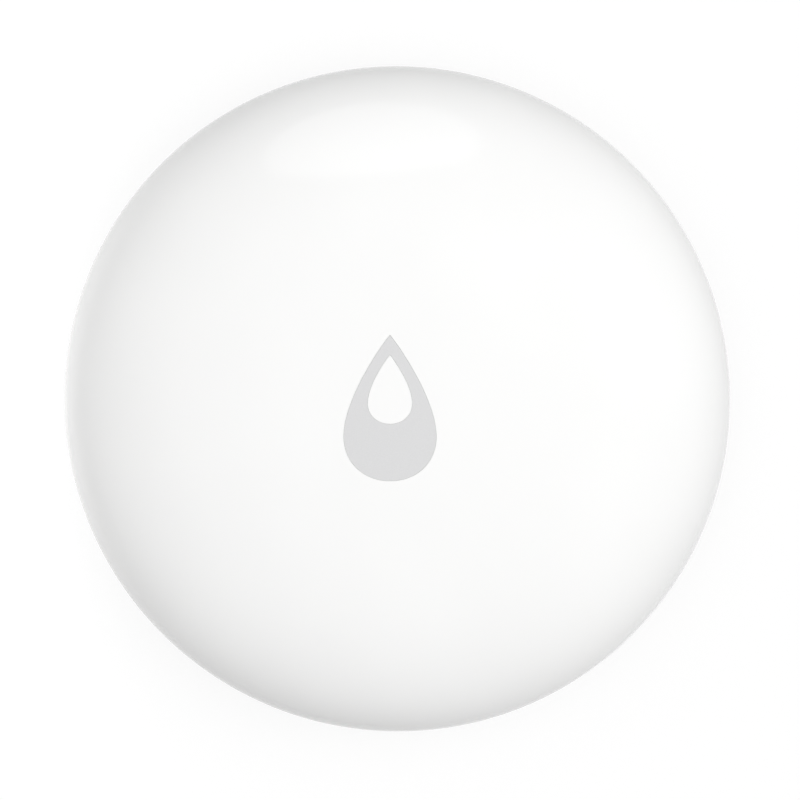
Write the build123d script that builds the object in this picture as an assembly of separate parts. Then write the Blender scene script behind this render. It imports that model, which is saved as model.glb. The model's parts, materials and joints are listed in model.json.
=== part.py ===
from build123d import *
import math
import os

# Water leak sensor: a domed white puck that lies on the floor and feels water between two probes.
# Millimetres and degrees. Z is up, the floor is at zero, and +Y points to the tip of the drop mark.

# Outer form; its diameter and height follow from what it holds
waist_height = 5.6
foot_height = 0.5
probe_ring_width = 6.35
flat_inset = 4.5
crown_share = 0.66
shoulder_share = 0.62
haunch_share = 0.55
sole_share = 0.5

# Shared allowances
fit_gap = 0.05
touch_gap = 0.1
running_gap = 0.15
overlap = 0.3
overrun = 1.0

# Top shell
shell_wall = 1.6
rim_wall = 2.2
parting_height = 3.0
seam_gap = 0.15
seam_round = 0.15
press_wall = 1.1
press_radius = 7.0
key_width = 2.0
key_depth = 1.0
key_height = 1.1
key_angle = 270.0

# Drop mark, sunk flush into the crown
mark_half_width = 3.4
mark_rise = 7.45
mark_drop = 3.25
mark_depth = 0.25
hole_half_width = 1.62
hole_rise = 3.55
hole_drop = 1.5
tip_gap = 1.45
tip_side_share = 0.15
tip_slope_share = 0.08
flank_share = 0.38
bulb_share = 0.58

# Base shell
floor_wall = 1.6
spigot_gap = 0.12
spigot_wall = 1.5
spigot_rise = 4.4
seal_rise = 0.85
seal_width = 1.5
seal_depth = 0.9
snap_count = 6
snap_angle = 24.0
snap_reach = 0.3
snap_height = 0.8
snap_gap = 0.1
snap_below_top = 0.5
foot_radius = 1.4
foot_round = 0.2
foot_angles = (60.0, 120.0, 240.0, 300.0)

# Coin cell
cell_diameter = 20.0
cell_height = 3.2
can_wall = 0.25
can_round = 0.4
cap_rise = 0.3
side_contact_zone = 0.8
cap_inset = 1.25
cap_depth = 1.3
lip_inset = 0.8
pellet_height = 1.35
cell_paste_gap = 0.05

# Battery cover and its bayonet
cover_sink = 0.15
cover_plate = 2.0
cover_shoulder = 1.1
cover_round = 0.3
cover_seal_width = 1.3
cover_seal_depth = 0.85
skirt_wall = 1.2
skirt_gap = 0.4
lug_reach = 1.3
lug_count = 3
lug_angle = 26.0
notch_margin = 3.0
ledge_height = 1.0
stop_margin = 2.5
turn_angle = 50.0
cam_lift = 0.4
groove_roof_gap = 0.25
roof_wall = 1.2
well_gap = 0.3
bore_wall = 1.3
mouth_chamfer = 0.25
recess_chamfer = 0.15
coin_slot_length = 13.0
coin_slot_width = 2.2
coin_slot_depth = 1.1
pointer_length = 1.3
pointer_inset = 0.9
tick_radius = 0.4
tick_depth = 0.2
tick_spread = 5.0

# Water probes
head_radius = 1.7
head_proud = 0.3
head_sink = 0.6
head_round = 0.3
shank_radius = 1.0
gland_radius = 1.75
gland_height = 0.8
probe_boss_wall = 1.1
probe_boss_rise = 1.9
clip_width = 1.0
clip_height = 0.3
shank_proud = 0.3

# Circuit board and its screws
board_wall = 1.0
board_room = 1.25
board_edge_gap = 1.5
boss_radius = 2.3
boss_angles = (90.0, 210.0, 330.0)
screw_radius = 1.0
screw_length = 5.0
screw_head_radius = 1.8
screw_head_height = 1.3
cross_width = 0.45
cross_length = 2.0
cross_depth = 0.7
screw_round = 0.25
hole_margin = 0.2

# Sheet contacts
sheet_gauge = 0.2
sheet_bend = 0.3
leaf_bend = 0.5
positive_width = 4.0
positive_tab = 2.6
positive_stand_off = 0.9
positive_foot = 0.45
negative_width = 5.0
negative_tab = 2.0
negative_half_span = 4.6
probe_strip_width = 2.4
probe_strip_tab = 2.4
probe_strip_bow = 1.2
probe_strip_toe = 1.0

# Push switch, its actuator and the light guide
button_offset = -2.0
button_travel = 0.25
switch_side = 6.0
switch_height = 2.0
switch_floor = 0.5
switch_well_radius = 2.2
frame_gauge = 0.2
plunger_radius = 1.6
plunger_rise = 0.6
plunger_flange = 0.45
plunger_nub_radius = 0.5
plunger_nub_height = 0.3
dome_gauge = 0.1
dome_rise = 0.3
dome_flat_radius = 0.6
lead_width = 0.7
lead_reach = 0.9
lead_gauge = 0.2
lead_height = 0.8
actuator_length = 3.0
pad_radius = 2.2
pad_height = 1.2
stem_radius = 1.3
sleeve_wall = 0.8
sleeve_length = 2.0
guide_foot_radius = 2.2
guide_foot_height = 1.5
guide_gap = 0.35
guide_radius = 1.4
guide_pocket_length = 2.6
guide_pocket_width = 1.9
guide_pocket_height = 1.1
led_length = 2.0
led_width = 1.25
led_base_height = 0.3
led_lens_height = 0.45
led_lens_radius = 0.5

# Parts on the circuit board, with their places as shares of its radius
chip_side = 7.0
chip_height = 0.85
chip_place_shares = (-0.52, 0.10)
chip_dot_radius = 0.35
chip_dot_inset = 1.0
chip_dot_depth = 0.1
crystal_length = 3.2
crystal_width = 2.5
crystal_height = 0.7
crystal_round = 0.3
crystal_place_shares = (-0.52, -0.23)
tank_length = 3.5
tank_width = 2.8
tank_height = 1.9
tank_place_shares = (0.51, -0.22)
sense_length = 2.9
sense_width = 1.6
sense_height = 1.1
sense_place_shares = (0.52, 0.18)
sense_lead_width = 0.35
sense_lead_reach = 0.6
sense_lead_gauge = 0.2
sense_lead_pitch = 0.95
capacitor_length = 1.0
capacitor_width = 0.55
capacitor_height = 0.5
capacitor_place_shares = (
    (-0.28, 0.43),
    (-0.37, 0.43),
    (-0.46, 0.43),
    (-0.55, 0.43),
    (0.41, 0.37),
    (0.63, 0.37),
)
resistor_length = 1.0
resistor_width = 0.5
resistor_height = 0.35
resistor_place_shares = (
    (0.32, 0.03),
    (0.32, -0.05),
    (0.71, 0.08),
    (0.71, -0.01),
    (-0.26, -0.39),
    (-0.36, -0.39),
)
antenna_gauge = 0.1
antenna_line = 0.5
antenna_pitch = 1.9
antenna_loops = 4
antenna_depth = 3.4
antenna_inset = 2.4

# Worked-out sizes: battery cover and well, from the cell outwards
cell_radius = cell_diameter / 2
skirt_inner = cell_radius + skirt_gap
skirt_outer = skirt_inner + skirt_wall
lug_radius = skirt_outer + lug_reach
cover_radius = lug_radius + cover_shoulder
cover_bore = cover_radius + running_gap
block_radius = cover_bore + bore_wall
ledge_radius = skirt_outer + running_gap
groove_radius = lug_radius + running_gap
well_radius = cell_radius + well_gap

# Worked-out sizes: outer form and rim
flat_radius = cover_bore + probe_ring_width
ring_middle = (cover_bore + flat_radius) / 2
body_radius = flat_radius + flat_inset
bore_radius = body_radius - rim_wall
spigot_outer = bore_radius - spigot_gap
spigot_inner = spigot_outer - spigot_wall
floor_top = foot_height + floor_wall
base_rim = parting_height - seam_gap
spigot_top = parting_height + spigot_rise
seal_middle = parting_height + seal_rise + seal_width / 2
snap_middle = spigot_top - snap_below_top - snap_height / 2

# Worked-out sizes: cover, cell and bayonet, from the sole upwards
cover_bottom = foot_height + cover_sink
cover_top = cover_bottom + cover_plate
cover_seal_middle = cover_bottom + cover_plate / 2
cell_bottom = cover_top + touch_gap
cell_top = cell_bottom + cell_height
can_top = cell_top - cap_rise
ledge_bottom = cover_top + touch_gap
ledge_top = ledge_bottom + ledge_height
lug_top = can_top - side_contact_zone
groove_roof = lug_top + groove_roof_gap
block_top = groove_roof + roof_wall

# Worked-out sizes: probes, board and button stack
head_bottom = foot_height - head_proud
head_top = foot_height + head_sink
gland_top = head_top + gland_height
probe_boss_top = floor_top + probe_boss_rise
clip_top = probe_boss_top + clip_height
shank_top = clip_top + shank_proud
board_bottom = cell_top + board_room
board_top = board_bottom + board_wall
board_radius = spigot_inner - board_edge_gap
boss_circle = board_radius - boss_radius
switch_top = board_top + switch_height
plunger_top = switch_top + plunger_rise
actuator_bottom = plunger_top + fit_gap
actuator_top = actuator_bottom + actuator_length
press_roof = actuator_top + fit_gap
body_height = press_roof + press_wall
guide_offset = button_offset + switch_side / 2 + guide_gap + guide_foot_radius


def disc(radius, low, high):
    """An upright cylinder on the axis, between two heights."""
    upright = (Align.CENTER, Align.CENTER, Align.MIN)
    return Pos(0, 0, low) * Cylinder(radius, high - low, align=upright)


def ring(inner, outer, low, high):
    """An upright tube on the axis, between two heights."""
    return disc(outer, low, high) - disc(inner, low, high)


def block(size_x, size_y, low, high):
    """A box centred on the axis, between two heights."""
    upright = (Align.CENTER, Align.CENTER, Align.MIN)
    return Pos(0, 0, low) * Box(size_x, size_y, high - low, align=upright)


def turn(shape, angle):
    """The shape turned about the upright axis."""
    return Rot(0, 0, angle) * shape


def out_at(shape, radius, angle):
    """The shape moved out along X by a radius, then turned about the upright axis."""
    return Rot(0, 0, angle) * Pos(radius, 0, 0) * shape


def sector(inner, outer, low, high, start, sweep):
    """A piece of a ring, from a start angle over a sweep."""
    corners = [(inner, 0, low), (outer, 0, low), (outer, 0, high), (inner, 0, high)]
    section = Face(Wire.make_polygon(corners))
    return turn(revolve(section, Axis.Z, sweep), start)


def oval_ring(radius, middle, half_width, half_height):
    """A ring with an oval section, as a squeezed rubber ring has."""
    section = Plane.XZ * Pos(radius, middle) * Ellipse(half_width, half_height)
    return revolve(section, Axis.Z)


def bent_strip(points, gauge, width, bend):
    """A sheet strip that follows points given as distance outwards and height."""
    line = FilletPolyline(*points, radius=bend)
    side = trace(line, gauge)
    return Rot(90, 0, 0) * extrude(side, width / 2, both=True)


def pebble(radius, top, waist, bottom, flat):
    """The body's form: a crown, a full waist and an undercut haunch down to a flat sole."""
    crown = Edge.make_bezier(
        (0, 0, top),
        (radius * crown_share, 0, top),
        (radius, 0, waist + (top - waist) * shoulder_share),
        (radius, 0, waist),
    )
    haunch = Edge.make_bezier(
        (radius, 0, waist),
        (radius, 0, waist - (waist - bottom) * haunch_share),
        (flat + (radius - flat) * sole_share, 0, bottom),
        (flat, 0, bottom),
    )
    sole = Edge.make_line((flat, 0, bottom), (0, 0, bottom))
    axle = Edge.make_line((0, 0, bottom), (0, 0, top))
    return revolve(Face(Wire([crown, haunch, sole, axle])), Axis.Z)


def drop_face(half_width, rise, drop, middle):
    """A drop outline: two flanks that meet at a tip, over a round bulb."""
    edges = []
    for side in (1, -1):
        wide = side * half_width
        flank = Edge.make_bezier(
            (0, middle + rise),
            (wide * tip_side_share, middle + rise * (1 - tip_slope_share)),
            (wide, middle + rise * flank_share),
            (wide, middle),
        )
        bulb = Edge.make_bezier(
            (wide, middle),
            (wide, middle - drop * bulb_share),
            (wide * bulb_share, middle - drop),
            (0, middle - drop),
        )
        edges += [flank, bulb]
    return Face(Wire(edges))


def body_form():
    return pebble(body_radius, body_height, waist_height, foot_height, flat_radius)


def drop_mark():
    """The grey drop with its open inner drop, centred on the crown."""
    tip = (mark_rise + mark_drop) / 2
    solid_drop = drop_face(mark_half_width, mark_rise, mark_drop, tip - mark_rise)
    open_drop = drop_face(hole_half_width, hole_rise, hole_drop, tip - tip_gap - hole_rise)
    reach = body_height + overrun
    column = extrude(solid_drop, reach, dir=(0, 0, 1)) - extrude(open_drop, reach, dir=(0, 0, 1))
    below = pebble(body_radius, body_height - mark_depth, waist_height, foot_height, flat_radius)
    return (column & body_form()) - below


def top_shell(mark):
    """The domed cover, with a thin centre to press and a skirt that closes over the base."""
    form = body_form() & disc(2 * body_radius, parting_height, body_height + overrun)
    form = fillet(form.edges().sort_by(Axis.Z)[0], seam_round)
    hollow = pebble(
        body_radius - shell_wall,
        body_height - shell_wall,
        waist_height,
        foot_height,
        flat_radius,
    )
    shell = form - (hollow & disc(bore_radius, foot_height, body_height))
    shell -= disc(bore_radius, parting_height - overrun, spigot_top + running_gap)
    shell -= disc(press_radius, waist_height, press_roof)
    groove_reach = snap_reach + spigot_gap
    shell -= ring(
        bore_radius - overrun,
        bore_radius + groove_reach,
        snap_middle - snap_height / 2 - snap_gap,
        snap_middle + snap_height / 2 + snap_gap,
    )
    sleeve = ring(
        pad_radius + running_gap,
        pad_radius + running_gap + sleeve_wall,
        press_roof - sleeve_length,
        press_roof + overlap,
    )
    shell += Pos(0, button_offset, 0) * sleeve
    key = block(key_depth + overlap, key_width, spigot_top - key_height, spigot_top + key_height)
    shell += out_at(key, bore_radius - key_depth / 2 + overlap / 2, key_angle)
    return shell - mark


def ramp_space(lift):
    """All the space above the bayonet's sloping face, which rises towards the closed end."""
    middle = turn_angle / 2
    path_radius = (ledge_radius + lug_radius) / 2
    climb = cam_lift / (math.radians(turn_angle) * path_radius)
    height = ledge_top + lift - cam_lift / 2
    upright = (Align.CENTER, Align.CENTER, Align.MIN)
    above = Box(2 * body_radius, 2 * body_radius, body_height, align=upright)
    tilt = math.degrees(math.atan(climb))
    return turn(Pos(path_radius, 0, height) * Rot(tilt, 0, 0) * above, middle)


def bayonet_space():
    """The room for the lugs: three notches to enter by and three sloping grooves to lock in."""
    half_notch = lug_angle / 2 + notch_margin
    closed_end = turn_angle + lug_angle / 2 + stop_margin
    outer = groove_radius
    inner = ledge_radius - overlap
    low = ledge_bottom - overlap
    notch = sector(inner, outer, low, groove_roof, -half_notch, 2 * half_notch)
    groove = sector(inner, outer, low, groove_roof, 0, closed_end) & ramp_space(0)
    pitch = 360 / lug_count
    space = disc(ledge_radius, low, groove_roof)
    for step in range(lug_count):
        space += turn(notch, step * pitch)
        space += turn(groove, step * pitch)
    return space


def foot():
    """A low nub that keeps a film of water free to reach the probes."""
    nub = disc(foot_radius, 0, foot_height + overlap)
    return fillet(nub.edges().sort_by(Axis.Z)[0], foot_round)


def base_shell():
    """The lower housing: sole, spigot with its seal groove, battery well and bosses."""
    base = body_form() & disc(2 * body_radius, foot_height, base_rim)
    base = fillet(base.edges().sort_by(Axis.Z)[-1], seam_round)
    base -= disc(spigot_inner, floor_top, parting_height)
    base += ring(spigot_inner, spigot_outer, base_rim - overlap, spigot_top)
    base -= ring(
        spigot_outer - seal_depth,
        spigot_outer + overrun,
        seal_middle - seal_width / 2,
        seal_middle + seal_width / 2,
    )
    snap = sector(
        spigot_outer - overlap,
        spigot_outer + snap_reach,
        snap_middle - snap_height / 2,
        snap_middle + snap_height / 2,
        -snap_angle / 2,
        snap_angle,
    )
    for step in range(snap_count):
        base += turn(snap, step * 360 / snap_count)
    notch_reach = spigot_wall + overrun
    notch = block(
        notch_reach,
        key_width + 2 * running_gap,
        spigot_top - key_height - running_gap,
        spigot_top + overrun,
    )
    base -= out_at(notch, spigot_outer - spigot_wall + notch_reach / 2 - overlap, key_angle)
    base += disc(block_radius, foot_height, block_top)
    for angle in boss_angles:
        base += out_at(disc(boss_radius, floor_top - overlap, board_bottom), boss_circle, angle)
    probe_boss_radius = gland_radius + probe_boss_wall
    for angle in (0, 180):
        boss = disc(probe_boss_radius, floor_top - overlap, probe_boss_top)
        base += out_at(boss, ring_middle, angle)
    base -= disc(cover_bore, foot_height - overrun, ledge_bottom)
    base -= bayonet_space()
    base -= disc(well_radius, groove_roof - overlap, block_top + overrun)
    mouth = Pos(0, 0, foot_height) * Cone(
        cover_bore + mouth_chamfer,
        cover_bore,
        mouth_chamfer,
        align=(Align.CENTER, Align.CENTER, Align.MIN),
    )
    base -= mouth
    slot_reach = positive_stand_off + sheet_gauge + running_gap + overlap
    slot = block(slot_reach, positive_width + 4 * running_gap, groove_roof, block_top + overrun)
    base -= out_at(slot, well_radius - overlap + slot_reach / 2, 90)
    clip_room = disc(shank_radius + clip_width + running_gap, probe_boss_top, block_top + overrun)
    for angle in (0, 180):
        base -= out_at(clip_room, ring_middle, angle)
        base -= out_at(probe_hole(), ring_middle, angle)
    for angle in boss_angles:
        pilot = disc(screw_radius + fit_gap, board_top - screw_length - running_gap, board_bottom + overrun)
        base -= out_at(pilot, boss_circle, angle)
    for angle in foot_angles:
        base += out_at(foot(), ring_middle, angle)
    tick = disc(tick_radius, foot_height - overrun, foot_height + tick_depth)
    tick_circle = cover_bore + mouth_chamfer + 2 * tick_radius
    for angle in tick_angles():
        base -= out_at(tick, tick_circle, angle)
    return base


def tick_angles():
    """One dimple at the closed place of the cover's pointer, and a pair at its open place."""
    closed = 270.0
    opened = closed - turn_angle
    return (closed, opened - tick_spread / 2, opened + tick_spread / 2)


def probe_hole():
    """The stepped hole for a probe: head recess, seal gland and shank hole."""
    recess = head_radius + running_gap
    upright = (Align.CENTER, Align.CENTER, Align.MIN)
    flare = Cone(recess + recess_chamfer, recess, recess_chamfer, align=upright)
    hole = Pos(0, 0, foot_height) * flare
    hole += disc(recess, foot_height - overrun, head_top)
    hole += disc(gland_radius, head_top - overlap, gland_top)
    hole += disc(shank_radius + fit_gap, gland_top - overlap, probe_boss_top + overrun)
    return hole


def battery_cover():
    """The coin-slot cover, with a seal groove, a skirt round the cell and three lugs."""
    plate = disc(cover_radius, cover_bottom, cover_top)
    plate = fillet(plate.edges().sort_by(Axis.Z)[0], cover_round)
    plate -= ring(
        cover_radius - cover_seal_depth,
        cover_radius + overrun,
        cover_seal_middle - cover_seal_width / 2,
        cover_seal_middle + cover_seal_width / 2,
    )
    cover = plate + ring(skirt_inner, skirt_outer, cover_top - overlap, lug_top)
    lug = sector(
        skirt_outer - overlap,
        lug_radius,
        ledge_bottom,
        lug_top,
        turn_angle - lug_angle / 2,
        lug_angle,
    )
    lug &= ramp_space(touch_gap)
    for step in range(lug_count):
        cover += turn(lug, step * 360 / lug_count)
    slot = extrude(SlotOverall(coin_slot_length, coin_slot_width), coin_slot_depth + overrun)
    cover -= Pos(0, 0, cover_bottom - overrun) * slot
    tip = -(cover_radius - pointer_inset)
    half = pointer_length / 2
    corners = [(0, tip), (half, tip + pointer_length), (-half, tip + pointer_length)]
    pointer = Face(Wire.make_polygon([(x, y, 0) for x, y in corners]))
    cover -= Pos(0, 0, cover_bottom - overrun) * extrude(pointer, overrun + tick_depth, dir=(0, 0, 1))
    return cover


def cover_seal():
    """The rubber ring in the cover's groove, a little clear of both walls."""
    inner = cover_radius - cover_seal_depth + fit_gap
    outer = cover_bore - fit_gap
    half_height = cover_seal_width / 2 - fit_gap
    return oval_ring((inner + outer) / 2, cover_seal_middle, (outer - inner) / 2, half_height)


def rim_seal():
    """The rubber ring between the spigot's groove and the top shell's skirt."""
    inner = spigot_outer - seal_depth + fit_gap
    outer = bore_radius - fit_gap
    half_height = seal_width / 2 - fit_gap
    return oval_ring((inner + outer) / 2, seal_middle, (outer - inner) / 2, half_height)


def probe():
    """A turned pin: a low domed head, a shank through the floor and a free end for the strip."""
    head = disc(head_radius, head_bottom, head_top)
    head = fillet(head.edges().sort_by(Axis.Z)[0], head_round)
    return head + disc(shank_radius, head_top - overlap, shank_top)


def probe_seal():
    inner = shank_radius + fit_gap
    outer = gland_radius - fit_gap
    middle = (head_top + gland_top) / 2
    ring_shape = oval_ring((inner + outer) / 2, middle, (outer - inner) / 2, gland_height / 2 - fit_gap)
    return ring_shape


def probe_clip():
    """A push-on washer that holds the shank against its seal."""
    return ring(shank_radius, shank_radius + clip_width, probe_boss_top, clip_top)


def probe_strip():
    """A bowed strip from the board's underside to the end of a probe's shank."""
    upper = board_bottom - sheet_gauge / 2
    lower = shank_top + touch_gap + sheet_gauge / 2
    bow = ring_middle + probe_strip_bow
    points = [
        (bow - probe_strip_tab, upper),
        (bow, upper),
        (bow + sheet_bend, (upper + lower) / 2),
        (ring_middle, lower),
        (ring_middle - probe_strip_toe, lower + sheet_gauge),
    ]
    return bent_strip(points, sheet_gauge, probe_strip_width, sheet_bend)


def cell_can():
    """The cell's steel can: floor, side wall and a lip crimped inwards."""
    can = disc(cell_radius, cell_bottom, can_top)
    can = fillet(can.edges().sort_by(Axis.Z)[0], can_round)
    can -= disc(cell_radius - can_wall, cell_bottom + can_wall, can_top - can_wall)
    return can - disc(cell_radius - lip_inset, can_top - can_wall - overrun, can_top + overrun)


def cell_cap():
    """The cell's negative cap, an upturned dish inside the can."""
    cap_radius = cell_radius - cap_inset
    low = cell_top - cap_depth
    cap = disc(cap_radius, low, cell_top)
    cap = fillet(cap.edges().sort_by(Axis.Z)[-1], can_wall)
    return cap - disc(cap_radius - can_wall, low, cell_top - can_wall)


def cell_grommet():
    """The nylon ring that keeps the cap apart from the can."""
    cap_radius = cell_radius - cap_inset
    low = cell_top - cap_depth
    grommet = ring(
        cap_radius + cell_paste_gap,
        cell_radius - can_wall - cell_paste_gap,
        low,
        can_top - can_wall - cell_paste_gap,
    )
    collar = ring(
        cap_radius + cell_paste_gap,
        cell_radius - lip_inset - cell_paste_gap,
        low,
        can_top,
    )
    return grommet + collar


def cell_cathode():
    low = cell_bottom + can_wall + cell_paste_gap
    return disc(cell_radius - can_wall - cell_paste_gap, low, low + pellet_height)


def cell_anode():
    low = cell_bottom + can_wall + 2 * cell_paste_gap + pellet_height
    high = cell_top - can_wall - cell_paste_gap
    return disc(cell_radius - cap_inset - can_wall - cell_paste_gap, low, high)


def positive_contact():
    """A strip from the board's underside down through the well's slot to the can's side."""
    upper = board_bottom - sheet_gauge / 2
    column = well_radius + positive_stand_off
    toe = cell_radius + touch_gap + sheet_gauge / 2
    touch = (groove_roof + can_top) / 2
    points = [
        (column + positive_tab, upper),
        (column, upper),
        (column, touch + 2 * positive_foot),
        (toe, touch),
        (toe + positive_foot / 2, touch - positive_foot / 2),
    ]
    return turn(bent_strip(points, sheet_gauge, positive_width, sheet_bend), 90)


def negative_contact():
    """A shallow leaf under the board whose middle presses on the cell's cap."""
    upper = board_bottom - sheet_gauge / 2
    lower = cell_top + touch_gap + sheet_gauge / 2
    span = negative_half_span
    points = [
        (-span - negative_tab, upper),
        (-span, upper),
        (-span / 4, lower),
        (span / 4, lower),
        (span, upper),
        (span + negative_tab, upper),
    ]
    return bent_strip(points, sheet_gauge, negative_width, leaf_bend)


def circuit_board():
    """A round board with three screw holes."""
    board = disc(board_radius, board_bottom, board_top)
    for angle in boss_angles:
        hole = disc(screw_radius + hole_margin, board_bottom - overrun, board_top + overrun)
        board -= out_at(hole, boss_circle, angle)
    return board


def board_screw():
    """A small pan-head screw with a cross recess."""
    head_top_height = board_top + screw_head_height
    screw = disc(screw_head_radius, board_top, head_top_height)
    screw = fillet(screw.edges().sort_by(Axis.Z)[-1], screw_round)
    screw += disc(screw_radius, board_top - screw_length, board_top + overlap)
    low = head_top_height - cross_depth
    high = head_top_height + overrun
    cross = block(cross_length, cross_width, low, high) + block(cross_width, cross_length, low, high)
    return screw - cross


def switch_body():
    """The switch's square case, with a round well for the snap dome."""
    case = block(switch_side, switch_side, board_top, switch_top - frame_gauge)
    well = disc(switch_well_radius, board_top + switch_floor, switch_top)
    return Pos(0, button_offset, 0) * (case - well)


def switch_frame():
    """The metal plate that closes the switch's well round the plunger."""
    plate = block(switch_side, switch_side, switch_top - frame_gauge, switch_top)
    window = disc(plunger_radius + fit_gap, board_top, switch_top + overrun)
    return Pos(0, button_offset, 0) * (plate - window)


def switch_dome():
    """The metal snap dome on the well's floor: a shallow cone cut flat at the top."""
    low = board_top + switch_floor
    rim = switch_well_radius - fit_gap
    upright = (Align.CENTER, Align.CENTER, Align.MIN)
    shape = Cone(rim, dome_flat_radius, dome_rise + dome_gauge, align=upright)
    under = Cone(rim - dome_gauge, dome_flat_radius - dome_gauge, dome_rise, align=upright)
    return Pos(0, button_offset, low) * (shape - under)


def switch_plunger():
    """The switch's plunger: nub, flange under the plate and a round head above it."""
    flange_top = switch_top - frame_gauge - fit_gap
    flange_low = flange_top - plunger_flange
    plunger = disc(switch_well_radius - 2 * fit_gap, flange_low, flange_top)
    plunger += disc(plunger_radius, flange_low, plunger_top)
    plunger += disc(plunger_nub_radius, flange_low - plunger_nub_height, flange_top)
    return Pos(0, button_offset, 0) * plunger


def switch_leads():
    """Four bent leads that hold the switch to the board."""
    leads = []
    for side_x in (1, -1):
        for side_y in (1, -1):
            inner = switch_side / 2
            outer = inner + lead_reach
            points = [
                (inner, board_top + lead_height),
                (inner + lead_gauge + fit_gap, board_top + lead_height),
                (inner + lead_gauge + fit_gap, board_top + lead_gauge / 2),
                (outer, board_top + lead_gauge / 2),
            ]
            lead = bent_strip(points, lead_gauge, lead_width, lead_gauge / 2 + fit_gap / 2)
            if side_x < 0:
                lead = turn(lead, 180)
            across = side_y * (switch_side / 2 - lead_width)
            leads.append(Pos(0, button_offset + across, 0) * lead)
    return Compound([lead.solid() for lead in leads])


def button_actuator():
    """The pad and stem that carry a press on the thin crown down to the switch."""
    actuator = disc(pad_radius, actuator_top - pad_height, actuator_top)
    actuator += disc(stem_radius, actuator_bottom, actuator_top)
    return Pos(0, button_offset, 0) * actuator


def light_guide():
    """A clear column that stands over the lamp and ends under the crown."""
    guide = disc(guide_foot_radius, board_top, board_top + guide_foot_height)
    guide += disc(guide_radius, board_top, press_roof - touch_gap)
    pocket_roof = board_top + guide_pocket_height
    guide -= block(guide_pocket_length, guide_pocket_width, board_top - overrun, pocket_roof)
    return Pos(0, guide_offset, 0) * guide


def led_base():
    return Pos(0, guide_offset, 0) * block(led_length, led_width, board_top, board_top + led_base_height)


def led_lens():
    low = board_top + led_base_height
    lens = disc(led_lens_radius, low, low + led_lens_height)
    return Pos(0, guide_offset, 0) * lens


def on_board(shape, place_shares):
    """The shape moved to its place on the board."""
    share_x, share_y = place_shares
    return Pos(share_x * board_radius, share_y * board_radius, 0) * shape


def radio_chip():
    """The radio's square chip, with a dot by its first lead."""
    chip = block(chip_side, chip_side, board_top, board_top + chip_height)
    dot = disc(chip_dot_radius, board_top + chip_height - chip_dot_depth, board_top + chip_height + overrun)
    corner = chip_side / 2 - chip_dot_inset
    return on_board(chip - Pos(-corner, corner, 0) * dot, chip_place_shares)


def crystal():
    can = block(crystal_length, crystal_width, board_top, board_top + crystal_height)
    can = fillet(can.edges().filter_by(Axis.Z), crystal_round)
    return on_board(can, crystal_place_shares)


def tank_capacitor():
    case = block(tank_length, tank_width, board_top, board_top + tank_height)
    return on_board(case, tank_place_shares)


def sense_chip():
    """A six-lead chip that measures the current between the probes."""
    case = block(sense_length, sense_width, board_top + sense_lead_gauge / 2, board_top + sense_height)
    across = (sense_width + sense_lead_reach - overlap) / 2
    lead = block(sense_lead_width, sense_lead_reach + overlap, board_top, board_top + sense_lead_gauge)
    for column in (-1, 0, 1):
        for side in (-1, 1):
            case += Pos(column * sense_lead_pitch, side * across, 0) * lead
    return on_board(case, sense_place_shares)


def small_parts(length, width, height, all_place_shares):
    """A group of equal small parts, one solid each."""
    case = block(length, width, board_top, board_top + height)
    return Compound([on_board(case, place_shares).solid() for place_shares in all_place_shares])


def antenna():
    """A flat copper line that runs to and fro near the board's edge."""
    points = []
    near = -(board_radius - antenna_inset)
    far = near + antenna_depth
    start = -(antenna_loops - 0.5) * antenna_pitch
    for step in range(2 * antenna_loops):
        x = start + step * antenna_pitch
        first, second = (far, near) if step % 2 == 0 else (near, far)
        points += [(x, first), (x, second)]
    line = Polyline(*points)
    return Pos(0, 0, board_top) * extrude(trace(line, antenna_line), antenna_gauge)


def pair(shape):
    """The shape at both probes, on +X and on -X."""
    return Compound([out_at(shape, 0, angle).solid() for angle in (0, 180)])


def write(name, shape):
    export_step(shape, os.path.join("parts", name + ".step"))


def main():
    os.makedirs("parts", exist_ok=True)
    mark = drop_mark()
    probe_at = Pos(ring_middle, 0, 0)
    write("drop_mark", mark)
    write("top_shell", top_shell(mark))
    write("base_shell", base_shell())
    write("rim_seal", rim_seal())
    write("battery_cover", battery_cover())
    write("cover_seal", cover_seal())
    write("cell_can", cell_can())
    write("cell_cap", cell_cap())
    write("cell_grommet", cell_grommet())
    write("cell_cathode", cell_cathode())
    write("cell_anode", cell_anode())
    write("probe_right", probe_at * probe())
    write("probe_left", turn(probe_at * probe(), 180))
    write("probe_seals", pair(probe_at * probe_seal()))
    write("probe_clips", pair(probe_at * probe_clip()))
    write("probe_strips", pair(probe_strip()))
    write("positive_contact", positive_contact())
    write("negative_contact", negative_contact())
    write("circuit_board", circuit_board())
    screws = [out_at(board_screw(), boss_circle, angle).solid() for angle in boss_angles]
    write("board_screws", Compound(screws))
    write("switch_body", switch_body())
    write("switch_frame", switch_frame())
    write("switch_dome", switch_dome())
    write("switch_plunger", switch_plunger())
    write("switch_leads", switch_leads())
    write("button_actuator", button_actuator())
    write("light_guide", light_guide())
    write("led_base", led_base())
    write("led_lens", led_lens())
    write("radio_chip", radio_chip())
    write("crystal", crystal())
    write("tank_capacitor", tank_capacitor())
    write("sense_chip", sense_chip())
    capacitors = small_parts(capacitor_length, capacitor_width, capacitor_height, capacitor_place_shares)
    write("chip_capacitors", capacitors)
    resistors = small_parts(resistor_length, resistor_width, resistor_height, resistor_place_shares)
    write("chip_resistors", resistors)
    write("antenna", antenna())


main()
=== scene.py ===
"""A domed white water leak sensor, seen from nearly straight above on a white floor.

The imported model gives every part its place. The crown with its drop mark, the battery cover, the
two probes, the switch's snap dome and the leaf on the cell are worked out again here as fine
surfaces. Everything else keeps its solid and gets its finish. Sizes are in millimetres, and a
surface is turned into metres when it becomes a mesh.
"""

import json
import math

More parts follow.
